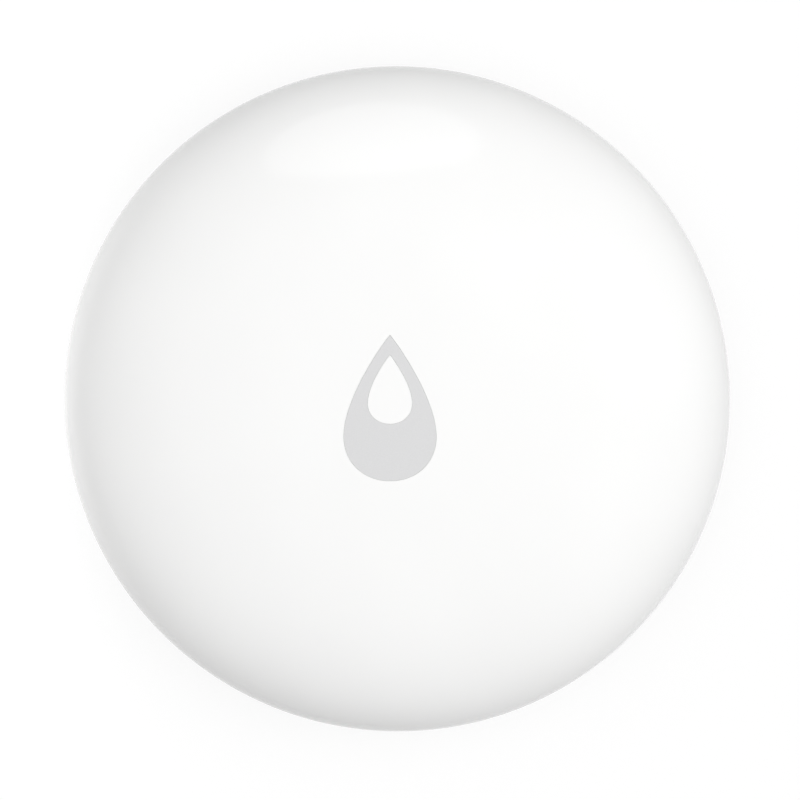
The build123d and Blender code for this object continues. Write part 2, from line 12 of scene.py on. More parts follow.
import bmesh
import bpy
import numpy as np
from mathutils import Matrix, Vector


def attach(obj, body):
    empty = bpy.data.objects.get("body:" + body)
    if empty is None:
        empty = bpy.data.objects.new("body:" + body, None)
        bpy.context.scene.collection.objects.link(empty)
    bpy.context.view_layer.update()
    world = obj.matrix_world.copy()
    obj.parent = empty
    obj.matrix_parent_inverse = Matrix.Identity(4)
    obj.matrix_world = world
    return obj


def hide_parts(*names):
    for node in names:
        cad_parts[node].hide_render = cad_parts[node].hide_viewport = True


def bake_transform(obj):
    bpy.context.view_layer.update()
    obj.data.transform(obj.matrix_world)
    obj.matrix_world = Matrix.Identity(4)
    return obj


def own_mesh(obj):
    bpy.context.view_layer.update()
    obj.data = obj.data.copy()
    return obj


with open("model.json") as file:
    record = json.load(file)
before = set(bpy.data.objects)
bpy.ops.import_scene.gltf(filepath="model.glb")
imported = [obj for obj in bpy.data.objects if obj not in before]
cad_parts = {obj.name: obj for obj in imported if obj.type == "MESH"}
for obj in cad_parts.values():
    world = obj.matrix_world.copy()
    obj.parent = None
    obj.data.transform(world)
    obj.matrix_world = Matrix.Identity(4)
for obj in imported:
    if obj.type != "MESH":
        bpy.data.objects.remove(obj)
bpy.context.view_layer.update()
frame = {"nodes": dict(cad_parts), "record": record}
nodes = frame["nodes"]
record = frame["record"]

MM = 0.001
WELD = 0.0002

# Fineness of the surfaces: points around them, then rows and steps along them
CROWN_AROUND = 384
COVER_AROUND = 480
PROBE_AROUND = 96
SMALL_AROUND = 64
ARC_STEPS = 5
ARC_SUPPORT = 0.3
SUPPORT_PARTS = 3
CURVE_STEPS = 4001
EDGE_ROWS = 4
ISLAND_ROWS = 12
FIELD_ROWS = 25
CROWN_ROWS = 66
HAUNCH_ROWS = 16
CEILING_ROWS = 36
KEY_ROWS = 24
FACE_ROWS = 14
ARROW_ROW_GAP = 0.05
LUG_STEPS = 32
HEAD_ROWS = 64
SHOULDER_ROWS = 8
DOME_STEPS = 33
LEAF_STEPS = 97

# Outer form
BODY_RADIUS = 25.0
BODY_TOP = 15.0
WAIST = 5.6
SOLE = 0.5
FLAT_RADIUS = 20.5
CROWN_SHARE = 0.66
SHOULDER_SHARE = 0.62
HAUNCH_SHARE = 0.55
SOLE_SHARE = 0.5

# Top shell
PARTING = 3.0
SHELL_WALL = 1.6
SEAM_ROUND = 0.15
BORE_RADIUS = 22.8
SNAP_LOW = 6.0
SNAP_HIGH = 7.0
SNAP_RADIUS = 23.22
INNER_ROUND = 0.06
PRESS_RADIUS = 7.0
PRESS_ROOF = 13.9
PRESS_ROUND = 0.2
BUTTON_OFFSET = -2.0
SLEEVE_INNER = 2.35
SLEEVE_OUTER = 3.15
SLEEVE_BOTTOM = 11.9
SLEEVE_ROOT = 14.0
KEY_MIDDLE = (0.0, -22.35, 7.4)
KEY_HALVES = (1.0, 0.55, 1.1)
KEY_POWER = 0.25

# Drop mark: its outline's sizes, its recess and the inlay in it
MARK_HALF_WIDTH = 3.4
MARK_TIP = 5.35
MARK_WIDEST = -2.1
MARK_BOTTOM = -5.35
HOLE_HALF_WIDTH = 1.62
HOLE_TIP = 3.9
HOLE_WIDEST = 0.35
HOLE_BOTTOM = -1.15
TIP_SIDE_SHARE = 0.15
TIP_SLOPE_SHARE = 0.08
FLANK_SHARE = 0.38
BULB_SHARE = 0.58
MARK_DEPTH = 0.25
MARK_EDGE = 0.012
MARK_JOINT_SHARE = 0.003
ISLAND_MARGIN = 1.3
RECESS_SHARES = (0, 0.02, 0.15, 0.35, 0.65, 0.85, 0.98, 1)
INLAY_EDGE = MARK_EDGE / 2
INLAY_LIFT = MARK_EDGE / 5
INLAY_TOP_SHARES = (0.03, 0.1, 0.25, 0.5, 0.75, 0.9, 0.97)
INLAY_BASE_SHARES = (1, 0.8, 0.5, 0.2, 0)
FIELD_RADIUS = 8.0
FIELD_CROWDING = 1.6

# Battery cover
COVER_BOTTOM = 0.65
COVER_TOP = 2.65
COVER_RADIUS = 14.0
COVER_ROUND = 0.3
COVER_GROOVE_RADIUS = 13.15
COVER_GROOVE_LOW = 1.0
COVER_GROOVE_HIGH = 2.3
SKIRT_OUTER = 11.6
SKIRT_INNER = 10.4
LUG_TOP = 4.85
LUG_INNER = 11.35
LUG_OUTER = 12.9
LUG_COUNT = 3
LUG_SWEEP = math.radians(26)
LUG_MIDDLE = math.radians(50)
RAMP_MIDDLE = math.radians(25)
RAMP_HEIGHT = 3.65
RAMP_CLIMB = 0.0372
LUG_ROUND = 0.12
SLOT_STRAIGHT = 5.4
SLOT_HALF_WIDTH = 1.1
SLOT_FLOOR = 1.75
SLOT_ROUND = 0.12
SLOT_MARGIN = 0.25
ARROW_TIP = -13.1
ARROW_BASE = -11.8
ARROW_HALF_WIDTH = 0.65
ARROW_DEPTH = 0.2
ARROW_SLOPE = 0.06
ARROW_FIELD = (10.8, 13.5)
ARROW_SIDE = math.radians(270)
ARROW_CROWDING = 0.6

# Water probes
PROBE_PLACE = 17.325
HEAD_BOTTOM = 0.2
HEAD_DOME = 0.06
HEAD_FLAT = 1.4
HEAD_RADIUS = 1.7
HEAD_TOP = 1.1
SHOULDER_START = 0.15
SHANK_RADIUS = 1.0
SHANK_TOP = 4.6
TURNING_PITCH = 0.16
TURNING_HEIGHT = 0.0025

# Springs: the switch's snap dome, and the leaf on the cell
DOME_LOW = 8.7
DOME_TOP = 9.1
DOME_RIM = 2.15
DOME_GAUGE = 0.1
DOME_CROWN_HANDLE = 0.95
DOME_FLANK_HANDLE = (1.4, 8.88)
DOME_HANDLE_DROP = DOME_GAUGE / 3
LEAF_GAUGE = 0.2
LEAF_HALF_WIDTH = 2.5
LEAF_UPPER = 7.1
LEAF_LOWER = 6.15
LEAF_REACH = (1.15, 4.6, 6.6)
LEAF_BEND = 0.4

# Circuit board and small parts: the places, sizes and colours that their finishes draw
BOARD_RADIUS = 19.68
BOSS_CIRCLE = 17.38
BOSS_ANGLES = tuple(math.radians(angle) for angle in (90, 210, 330))
TIN_RADIUS = 2.1
TIN_EDGE = 0.04
TIN_COLOUR = (0.75, 0.73, 0.68)
TRACK_PITCH = 0.55
TRACK_WIDTH = 0.2
TRACK_SOFTNESS = 0.2
TRACK_GLOW = 1.7
LENGTHWISE_JOGS = ((-13.0, -11.2), (-4.5, -2.0), (6.0, 7.4), (11.0, 14.0))
CROSSWISE_JOGS = ((-12.0, -9.5), (-3.0, -1.6), (5.0, 8.0))
PATCH_SIZE = 7.0
LENGTHWISE_PATCH = (0.53, 0.535)
CROSSWISE_PATCH = (0.425, 0.43)
COPPER_RISE = 0.03
ANTENNA_FIELD = -12.6
ANTENNA_EDGE = 0.02
HOLE_PITCH = 2.6
HOLE_RADIUS = 0.24
HOLE_EDGE_SHARE = 0.9
TANK_BAR = 11.1
TANK_BAR_EDGE = 0.02
TANK_BAR_COLOUR = (0.32, 0.15, 0.05)
CAPACITOR_MIDDLES = [share * BOARD_RADIUS for share in (-0.28, -0.37, -0.46, -0.55, 0.41, 0.63)]
RESISTOR_MIDDLES = [share * BOARD_RADIUS for share in (0.32, 0.71, -0.26, -0.36)]
CHIP_HALF = 0.3
CHIP_EDGE = 0.01
CHIP_END_COLOUR = (0.72, 0.72, 0.71)

# Finishes: the long waves of a polished moulding, and a colour mix node's places for its colours
WAVE_SIZE = 3.5
WAVE_RISE = 0.0012
MIX_FIRST = 6
MIX_SECOND = 7
MIX_RESULT = 2

# Camera, in metres but for its lens
LENS = 200.0
CAMERA_SIDE = Vector((0.0487, 0.0642, 1.0)).normalized()
CAMERA_DISTANCE = 0.3337
AIM = Vector((0.00028, 0.0, 0.0056))

# Light: the soft sides of the room as compass angle, rise, evenness and brightness, the round lamp
# as compass angle, rise, distance, width and brightness, with both lengths in metres, and the lamp
# over the floor at the left as its middle, width and length in millimetres and its brightness
SOFT_SIDES = {
    "ceiling": (0.0, 90.0, 4.0, 2.0),
    "right": (5.0, 42.0, 9.0, 2.55),
    "left": (178.0, 8.0, 20.0, 2.2),
}
FAR_LAMP = (98.0, 35.0, 0.5, 0.37, 0.65)
FLOOR_LAMP = ((-42.0, 4.0, 10.0), 16.0, 50.0, 2.45)

# Floor: its half width and how far it lies below the object, in metres, then the white that it
# shows, the grey that it gives back, and how much of its shadow is seen
FLOOR_SPREAD = 2.0
FLOOR_DROP = 0.00002
FLOOR_SHOWN = 0.95
FLOOR_GIVEN = 0.5
FLOOR_SHADOW_SHARE = 0.16


# Curves and sections


def bezier(start, start_handle, end_handle, end, share):
    """Points of a cubic curve at the given shares of it, as an array of pairs."""
    t = np.asarray(share)[:, None]
    a, b, c, d = (np.asarray(p, float) for p in (start, start_handle, end_handle, end))
    return (1 - t) ** 3 * a + 3 * (1 - t) ** 2 * t * b + 3 * (1 - t) * t ** 2 * c + t ** 3 * d


def crown_curve(radius, top, share):
    """Radius and height along a crown: a cubic from the level top out to the upright waist."""
    shoulder = WAIST + (top - WAIST) * SHOULDER_SHARE
    return bezier((0, top), (radius * CROWN_SHARE, top), (radius, shoulder), (radius, WAIST), share)


def haunch_curve(share):
    """Radius and height of the haunch: a cubic from the upright waist in to the flat sole."""
    return bezier(
        (BODY_RADIUS, WAIST),
        (BODY_RADIUS, WAIST - (WAIST - SOLE) * HAUNCH_SHARE),
        (FLAT_RADIUS + (BODY_RADIUS - FLAT_RADIUS) * SOLE_SHARE, SOLE),
        (FLAT_RADIUS, SOLE),
        share,
    )


EVEN = np.linspace(0, 1, CURVE_STEPS)
CROWN = crown_curve(BODY_RADIUS, BODY_TOP, EVEN)
RECESS = crown_curve(BODY_RADIUS, BODY_TOP - MARK_DEPTH, EVEN)
CEILING = crown_curve(BODY_RADIUS - SHELL_WALL, BODY_TOP - SHELL_WALL, EVEN)
HAUNCH = haunch_curve(EVEN)


def height_on(curve, place):
    """Height of a turned curve over each place, read off at its distance from the axis."""
    return np.interp(np.hypot(place[..., 0], place[..., 1]), curve[:, 0], curve[:, 1])


def run_length(line):
    """The length of a line of pairs up to each of its points."""
    return np.concatenate([[0], np.cumsum(np.hypot(*np.diff(line, axis=0).T))])


def at_lengths(line, length, wanted):
    """The places on a line of pairs at the wanted lengths of it."""
    return np.stack([np.interp(wanted, length, line[:, 0]), np.interp(wanted, length, line[:, 1])], -1)


def cornered(*corners):
    """A section of straight runs through corners given as radius, height and rounding.

    A rounding of nothing keeps the corner. Any other turns it into the quadratic blend of its two
    tangent points and itself, with a point just outside each end that keeps shading inside it. That
    point takes at most a third of the straight run between two roundings.
    """
    points = np.array([corner[:2] for corner in corners], float)
    roundings = np.array([0, *(corner[2] for corner in corners[1:-1]), 0])
    spare = np.linalg.norm(np.diff(points, axis=0), axis=1) - roundings[:-1] - roundings[1:]
    parts = [points[:1]]
    share = np.linspace(0, 1, ARC_STEPS)[:, None]
    for place in range(1, len(corners) - 1):
        before, corner, after = points[place - 1 : place + 2]
        rounding = roundings[place]
        if rounding == 0:
            parts.append(corner[None])
            continue
        into = (before - corner) / np.linalg.norm(before - corner)
        out = (after - corner) / np.linalg.norm(after - corner)
        arc = corner + rounding * ((1 - share) ** 2 * into + share ** 2 * out)
        room = np.minimum(ARC_SUPPORT * rounding, spare[place - 1 : place + 1] / SUPPORT_PARTS)
        reach_in, reach_out = rounding + room
        parts += [(corner + into * reach_in)[None], arc, (corner + out * reach_out)[None]]
    parts.append(points[-1:])
    return np.concatenate(parts)


def ring_section(inner, outer, low, high, rounding):
    """The closed section of a ring with rounded corners, from the middle of its top."""
    middle = (inner + outer) / 2
    return cornered(
        (middle, high),
        (outer, high, rounding),
        (outer, low, rounding),
        (inner, low, rounding),
        (inner, high, rounding),
        (middle, high),
    )[:-1]


def clockwise(count, crowding=0.0, crowded=0.0):
    """Angles once round from +Y, clockwise seen from above, drawn together round one angle."""
    even = math.pi / 2 - 2 * math.pi * np.arange(count) / count
    return even - crowding * np.sin(even - crowded)


def lathe(section, angles, centre=(0.0, 0.0)):
    """Rows of points: each radius and height of a section carried round the given angles."""
    radius, height = np.asarray(section, float).T[:, :, None]
    x = radius * np.cos(angles) + centre[0]
    y = radius * np.sin(angles) + centre[1]
    return np.stack([x, y, np.broadcast_to(height, x.shape)], axis=-1)


def lifted(places, heights):
    """Rows of points from flat places and a height for each place or each row."""
    heights = np.broadcast_to(heights, places.shape[:-1])
    return np.concatenate([places, heights[..., None]], axis=-1)


# Meshes


def grid_faces(count, around, looped, first):
    """Quads of a grid: point i of a row meets point i + 1, and the same two of the next row."""
    index = first + np.arange(count * around).reshape(count, around)
    lower = index if looped else index[:-1]
    upper = np.roll(index, -1, axis=0) if looped else index[1:]
    corners = [lower, np.roll(lower, -1, axis=1), np.roll(upper, -1, axis=1), upper]
    return np.stack(corners, axis=-1).reshape(-1, 4)


def add_surface(name, shells, body, slot, node, looped=False):
    """Joins rows of points into closed surfaces and makes them one piece.

    Every shell is a grid of rows that close on themselves. Rows that shrink to a point or a line
    are welded, and the faces are turned outwards. The piece rides on a body if one is named.
    """
    faces, first = [], 0
    for rows in shells:
        count, around = rows.shape[:2]
        faces.append(grid_faces(count, around, looped, first))
        first += count * around
    points = np.concatenate([rows.reshape(-1, 3) for rows in shells]) * MM
    faces = np.concatenate(faces)
    mesh = bpy.data.meshes.new(name)
    mesh.vertices.add(len(points))
    mesh.vertices.foreach_set("co", points.astype(np.float32).ravel())
    mesh.loops.add(faces.size)
    mesh.loops.foreach_set("vertex_index", faces.astype(np.int32).ravel())
    mesh.polygons.add(len(faces))
    mesh.polygons.foreach_set("loop_start", np.arange(0, faces.size, 4, dtype=np.int32))
    mesh.update(calc_edges=True)
    work = bmesh.new()
    work.from_mesh(mesh)
    bmesh.ops.remove_doubles(work, verts=work.verts, dist=WELD * MM)
    bmesh.ops.recalc_face_normals(work, faces=work.faces)
    work.to_mesh(mesh)
    work.free()
    mesh.polygons.foreach_set("use_smooth", np.ones(len(mesh.polygons), dtype=bool))
    piece = bpy.data.objects.new(name, mesh)
    bpy.context.scene.collection.objects.link(piece)
    piece.data.materials.append(FINISHES[slot])
    if body:
        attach(piece, body)
    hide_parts(node)
    return piece


# Crown and drop mark


def drop_outline(half_width, tip, widest, bottom, count):
    """A drop's outline in equal steps of its length, clockwise from the tip.

    Each side is a cubic flank from the tip to the widest place and a cubic quarter of the bulb
    below it. The left side is the right side mirrored.
    """
    rise, fall = tip - widest, widest - bottom
    flank = bezier(
        (0, tip),
        (half_width * TIP_SIDE_SHARE, widest + rise * (1 - TIP_SLOPE_SHARE)),
        (half_width, widest + rise * FLANK_SHARE),
        (half_width, widest),
        EVEN,
    )
    bulb = bezier(
        (half_width, widest),
        (half_width, widest - fall * BULB_SHARE),
        (half_width * BULB_SHARE, bottom),
        (0, bottom),
        EVEN,
    )
    side = np.concatenate([flank, bulb[1:]])
    length = run_length(side)
    wanted = np.linspace(0, length[-1], count // 2 + 1)
    right = at_lengths(side, length, wanted)
    return np.concatenate([right, right[-2:0:-1] * (-1, 1)])


MARK_OUTLINE = drop_outline(MARK_HALF_WIDTH, MARK_TIP, MARK_WIDEST, MARK_BOTTOM, CROWN_AROUND)
HOLE_OUTLINE = drop_outline(HOLE_HALF_WIDTH, HOLE_TIP, HOLE_WIDEST, HOLE_BOTTOM, CROWN_AROUND)
MARK_CENTRE = np.array([0, MARK_WIDEST])
HOLE_CENTRE = np.array([0, HOLE_WIDEST])


def scaled_rows(outline, centre, shares):
    """The outline drawn in or out about its centre, one row for each share of its size."""
    return centre + (outline - centre) * np.asarray(shares)[:, None, None]


def blend_rows(inner, outer, shares):
    """Rows between two outlines, each point on the straight line between its two."""
    return inner + (outer - inner) * np.asarray(shares)[:, None, None]


def crown_rows():
    """The crown's skin from the inner drop out to the waist, with the mark's recess sunk in it.

    The heights are the crown's curve, and in the recess the same curve with a lower top. The rows
    run from the middle of the inner drop to its edge, down, across, up and out to full circles.
    """
    bend = np.linspace(0, math.pi / 2, EDGE_ROWS)[:, None]
    edge_share = MARK_EDGE / HOLE_HALF_WIDTH
    shares = np.linspace(0, 1 - ISLAND_MARGIN * edge_share, ISLAND_ROWS)
    island = scaled_rows(HOLE_OUTLINE, HOLE_CENTRE, shares)
    island_edge = scaled_rows(HOLE_OUTLINE, HOLE_CENTRE, 1 - edge_share * (1 - np.sin(bend[:, 0])))
    floor = blend_rows(HOLE_OUTLINE, MARK_OUTLINE, RECESS_SHARES)
    mark_share = MARK_EDGE / MARK_HALF_WIDTH
    mark_edge = scaled_rows(MARK_OUTLINE, MARK_CENTRE, 1 + mark_share * (1 - np.cos(bend[:, 0])))
    circle = lathe([(FIELD_RADIUS, 0)], clockwise(CROWN_AROUND))[0, :, :2]
    field = blend_rows(mark_edge[-1], circle, np.linspace(0, 1, FIELD_ROWS)[1:] ** FIELD_CROWDING)
    parts = [
        lifted(island, height_on(CROWN, island)),
        lifted(island_edge, height_on(CROWN, island_edge) - MARK_EDGE * (1 - np.cos(bend))),
        lifted(floor[:1], height_on(CROWN, floor[:1]) - 2 * MARK_EDGE),
        lifted(floor[:1], height_on(RECESS, floor[:1]) + MARK_EDGE),
        lifted(floor, height_on(RECESS, floor)),
        lifted(floor[-1:], height_on(RECESS, floor[-1:]) + MARK_EDGE),
        lifted(floor[-1:], height_on(CROWN, floor[-1:]) - 2 * MARK_EDGE),
        lifted(mark_edge, height_on(CROWN, mark_edge) - MARK_EDGE * (1 - np.sin(bend))),
        lifted(field, height_on(CROWN, field)),
    ]
    return np.concatenate(parts)


def crown_profile():
    """Radius and height from the field's edge down the crown and haunch and through the inside.

    The two outer cubics are followed by straight runs round the rim and the snap groove, the
    crown's cubic drawn in by the wall, and the straight pocket over the button.
    """
    first = np.interp(FIELD_RADIUS, CROWN[:, 0], EVEN)
    crown = crown_curve(BODY_RADIUS, BODY_TOP, np.linspace(first, 1, CROWN_ROWS)[1:])
    last = np.interp(-PARTING - 2 * SEAM_ROUND, -HAUNCH[:, 1], EVEN)
    haunch = haunch_curve(np.linspace(0, last, HAUNCH_ROWS)[1:])
    rim_radius = np.interp(-PARTING, -HAUNCH[:, 1], HAUNCH[:, 0])
    ceiling_start = np.interp(BORE_RADIUS, CEILING[:, 0], EVEN)
    ceiling_end = np.interp(PRESS_RADIUS + PRESS_ROUND, CEILING[:, 0], EVEN)
    shares = np.linspace(ceiling_start, ceiling_end, CEILING_ROWS)
    ceiling = crown_curve(BODY_RADIUS - SHELL_WALL, BODY_TOP - SHELL_WALL, shares)
    rim = cornered(
        haunch[-1],
        (rim_radius, PARTING, SEAM_ROUND),
        (BORE_RADIUS, PARTING, INNER_ROUND),
        (BORE_RADIUS, SNAP_LOW, INNER_ROUND),
        (SNAP_RADIUS, SNAP_LOW, INNER_ROUND),
        (SNAP_RADIUS, SNAP_HIGH, INNER_ROUND),
        (BORE_RADIUS, SNAP_HIGH, INNER_ROUND),
        ceiling[0],
    )
    pocket = cornered(
        ceiling[-1],
        (PRESS_RADIUS, ceiling[-1, 1], PRESS_ROUND / 2),
        (PRESS_RADIUS, PRESS_ROOF, PRESS_ROUND / 2),
        (0, PRESS_ROOF),
    )
    return np.concatenate([crown, haunch, rim[1:-1], ceiling, pocket[1:]])


def mark_rows():
    """The grey inlay: a ring between the drop's two outlines, flush with the crown in its recess.

    Its rows blend from one outline to the other, and its edges bend down as quarter circles.
    """
    outer = scaled_rows(MARK_OUTLINE, MARK_CENTRE, [1 - MARK_JOINT_SHARE])[0]
    inner = scaled_rows(HOLE_OUTLINE, HOLE_CENTRE, [1 + 2 * MARK_JOINT_SHARE])[0]
    bend = np.linspace(0, math.pi / 2, EDGE_ROWS)[:, None]
    top = blend_rows(outer, inner, INLAY_TOP_SHARES)
    outer_edge = blend_rows(outer, inner, INLAY_EDGE * (1 - np.cos(bend[:, 0])))
    inner_edge = blend_rows(outer, inner, 1 - INLAY_EDGE * (1 - np.sin(bend[:, 0])))
    base = blend_rows(outer, inner, INLAY_BASE_SHARES)
    parts = [
        lifted(outer_edge, height_on(CROWN, outer_edge) - INLAY_EDGE * (1 - np.sin(bend))),
        lifted(top, height_on(CROWN, top)),
        lifted(inner_edge, height_on(CROWN, inner_edge) - INLAY_EDGE * (1 - np.cos(bend))),
        lifted(base, height_on(RECESS, base) + INLAY_LIFT),
    ]
    return np.concatenate(parts)


def key_rows():
    """The rib that keeps the shells from turning: an ellipsoid whose powers make it nearly square."""
    around = clockwise(SMALL_AROUND)
    rise = np.linspace(-math.pi / 2, math.pi / 2, KEY_ROWS)[:, None]
    x = squared(np.cos(rise)) * squared(np.cos(around))
    y = squared(np.cos(rise)) * squared(np.sin(around))
    z = squared(np.sin(rise)) * np.ones_like(around)
    return np.stack([x, y, z], -1) * KEY_HALVES + KEY_MIDDLE


def squared(value):
    """The value drawn towards one or minus one by a low power of its size."""
    return np.sign(value) * np.abs(value) ** KEY_POWER


# Battery cover, probes and springs


def cover_rows():
    """The battery cover from its coin slot's floor, over its face and rim, to its skirt and seat.

    The slot is a line spread by an offset, with a floor that fans out from its middle. Its rows
    blend into circles, and the moulded arrow is a depth that rises over a narrow slope inside
    three straight edges.
    """
    angles = clockwise(COVER_AROUND, ARROW_CROWDING, ARROW_SIDE)
    quarter = SLOT_STRAIGHT + SLOT_HALF_WIDTH * math.pi / 2
    run = np.mod(math.pi / 2 - angles, 2 * math.pi) / (2 * math.pi) * 4 * quarter
    line_x, side_x, side_y = stadium(run, quarter)
    offsets = cornered(
        (0, SLOT_FLOOR),
        (SLOT_HALF_WIDTH, SLOT_FLOOR, SLOT_ROUND),
        (SLOT_HALF_WIDTH, COVER_BOTTOM, SLOT_ROUND),
        (SLOT_HALF_WIDTH + SLOT_MARGIN, COVER_BOTTOM),
    )
    line = np.stack([line_x, np.zeros_like(line_x)], -1)
    side = np.stack([side_x, side_y], -1)
    slot = line + side * offsets[:, :1, None]
    slot[0] = 0
    start, end = ARROW_FIELD
    circle = lathe([(start, 0)], angles)[0, :, :2]
    face = blend_rows(slot[-1], circle, np.linspace(0, 1, FACE_ROWS)[1:])
    radii = np.arange(start, end, ARROW_ROW_GAP)[1:]
    field = lathe([(radius, 0) for radius in radii], angles)[..., :2]
    rim = cornered(
        (end, COVER_BOTTOM),
        (COVER_RADIUS, COVER_BOTTOM, COVER_ROUND),
        (COVER_RADIUS, COVER_GROOVE_LOW, INNER_ROUND / 2),
        (COVER_GROOVE_RADIUS, COVER_GROOVE_LOW, INNER_ROUND),
        (COVER_GROOVE_RADIUS, COVER_GROOVE_HIGH, INNER_ROUND),
        (COVER_RADIUS, COVER_GROOVE_HIGH, INNER_ROUND),
        (COVER_RADIUS, COVER_TOP, INNER_ROUND),
        (SKIRT_OUTER, COVER_TOP, INNER_ROUND),
        (SKIRT_OUTER, LUG_TOP, LUG_ROUND),
        (SKIRT_INNER, LUG_TOP, LUG_ROUND),
        (SKIRT_INNER, COVER_TOP, LUG_ROUND),
        (0, COVER_TOP),
    )
    parts = [
        lifted(slot, offsets[:, 1:2]),
        lifted(face, COVER_BOTTOM),
        lifted(field, COVER_BOTTOM + arrow_depth(field)),
        lathe(rim, angles),
    ]
    return np.concatenate(parts)


def stadium(run, quarter):
    """Place on the line and outward direction at a distance along a slot's outline.

    The distance runs clockwise from the top's middle, over straight sides and round half circles.
    """
    turn = np.floor(run / quarter)
    within = np.where(turn % 2 == 0, run - turn * quarter, (turn + 1) * quarter - run)
    bend = np.clip((within - SLOT_STRAIGHT) / SLOT_HALF_WIDTH, 0, math.pi / 2)
    right = np.where((turn == 0) | (turn == 1), 1.0, -1.0)
    up = np.where((turn == 0) | (turn == 3), 1.0, -1.0)
    return np.minimum(within, SLOT_STRAIGHT) * right, np.sin(bend) * right, np.cos(bend) * up


def arrow_depth(place):
    """Depth of the arrow: full inside its three edges, nothing outside, smooth between."""
    x, y = np.abs(place[..., 0]), place[..., 1]
    length = ARROW_BASE - ARROW_TIP
    slant = math.hypot(ARROW_HALF_WIDTH, length)
    flank = (x * length - (y - ARROW_TIP) * ARROW_HALF_WIDTH) / slant
    outside = np.maximum(flank, y - ARROW_BASE)
    share = np.clip(0.5 - outside / (2 * ARROW_SLOPE), 0, 1)
    return ARROW_DEPTH * share ** 2 * (3 - 2 * share)


def lug_rows(middle):
    """One bayonet lug: a rounded section carried along an arc, drawn in at both ends.

    Its heights are stretched so that the underside lies on the bayonet's slope, which climbs with
    the distance from the slope's middle plane.
    """
    low = RAMP_HEIGHT
    section = ring_section(LUG_INNER, LUG_OUTER, low, LUG_TOP, LUG_ROUND)
    centre = np.array([(LUG_INNER + LUG_OUTER) / 2, (low + LUG_TOP) / 2])
    end = LUG_SWEEP / 2
    inside = end - LUG_ROUND / LUG_OUTER
    angles = np.concatenate([[-end, -end], np.linspace(-inside, inside, LUG_STEPS), [end, end]])
    draw = np.ones(len(angles))
    draw[[0, -1]] = 0
    draw[[1, -2]] = 1 - 2 * LUG_ROUND
    radius = centre[0] + (section[:, 0] - centre[0]) * draw[:, None]
    height = centre[1] + (section[:, 1] - centre[1]) * draw[:, None]
    turned = LUG_MIDDLE + angles[:, None]
    slope = RAMP_CLIMB * radius * np.sin(turned - RAMP_MIDDLE)
    height = LUG_TOP - (LUG_TOP - height) * (LUG_TOP - low - slope) / (LUG_TOP - low)
    spread = turned + middle
    return np.stack([radius * np.cos(spread), radius * np.sin(spread), height], -1)


def probe_rows(side):
    """A turned pin about its own axis: a parabola's head with cosine rings, and a straight shank."""
    radius = np.linspace(0, HEAD_FLAT, HEAD_ROWS)
    rings = TURNING_HEIGHT * (1 - np.cos(2 * math.pi * radius / TURNING_PITCH))
    dome = HEAD_BOTTOM + HEAD_DOME * (radius / HEAD_FLAT) ** 2 + rings
    bend = np.linspace(SHOULDER_START, math.pi / 2, SHOULDER_ROWS)
    edge = HEAD_RADIUS - HEAD_FLAT
    shoulder = np.stack([HEAD_FLAT + edge * np.sin(bend), dome[-1] + edge * (1 - np.cos(bend))], -1)
    shank = cornered(
        shoulder[-1],
        (HEAD_RADIUS, HEAD_TOP, INNER_ROUND),
        (SHANK_RADIUS, HEAD_TOP, INNER_ROUND),
        (SHANK_RADIUS, SHANK_TOP, LUG_ROUND),
        (0, SHANK_TOP),
    )
    section = np.concatenate([np.stack([radius, dome], -1), shoulder, shank[1:]])
    return lathe(section, clockwise(PROBE_AROUND), (side * PROBE_PLACE, 0))


def dome_section():
    """The snap dome's section: a cubic from its level top to its rim, and one a sheet's gauge lower."""
    share = np.linspace(0, 1, DOME_STEPS)
    handle = np.array(DOME_FLANK_HANDLE)
    upper = bezier((0, DOME_TOP), (DOME_CROWN_HANDLE, DOME_TOP), handle, (DOME_RIM, DOME_LOW), share)
    level = DOME_TOP - DOME_GAUGE
    rim = (DOME_RIM - DOME_GAUGE, DOME_LOW)
    handle = handle - (DOME_GAUGE, DOME_HANDLE_DROP)
    lower = bezier((0, level), (DOME_CROWN_HANDLE, level), handle, rim, share)
    return np.concatenate([upper, lower[::-1]])


def leaf_rows():
    """The leaf on the cell: a thin rounded strip carried along a line that dips to the cell's cap."""
    near, far, tab = LEAF_REACH
    line = cornered(
        (-tab, LEAF_UPPER),
        (-far, LEAF_UPPER, LEAF_BEND),
        (-near, LEAF_LOWER, LEAF_BEND),
        (near, LEAF_LOWER, LEAF_BEND),
        (far, LEAF_UPPER, LEAF_BEND),
        (tab, LEAF_UPPER),
    )
    length = run_length(line)
    line = at_lengths(line, length, np.linspace(0, length[-1], LEAF_STEPS))
    way = np.gradient(line, axis=0)
    way /= np.linalg.norm(way, axis=1)[:, None]
    half = LEAF_GAUGE / 2
    section = ring_section(-LEAF_HALF_WIDTH, LEAF_HALF_WIDTH, -half, half, half / 2)
    draw = np.ones(LEAF_STEPS + 2)
    draw[[0, -1]] = 0
    line, way = (np.concatenate([part[:1], part, part[-1:]]) for part in (line, way))
    across = draw[:, None] * section[:, 0]
    out = draw[:, None] * section[:, 1]
    x = line[:, :1] - way[:, 1:] * out
    z = line[:, 1:] + way[:, :1] * out
    return np.stack([x, across, z], -1)


# Finishes


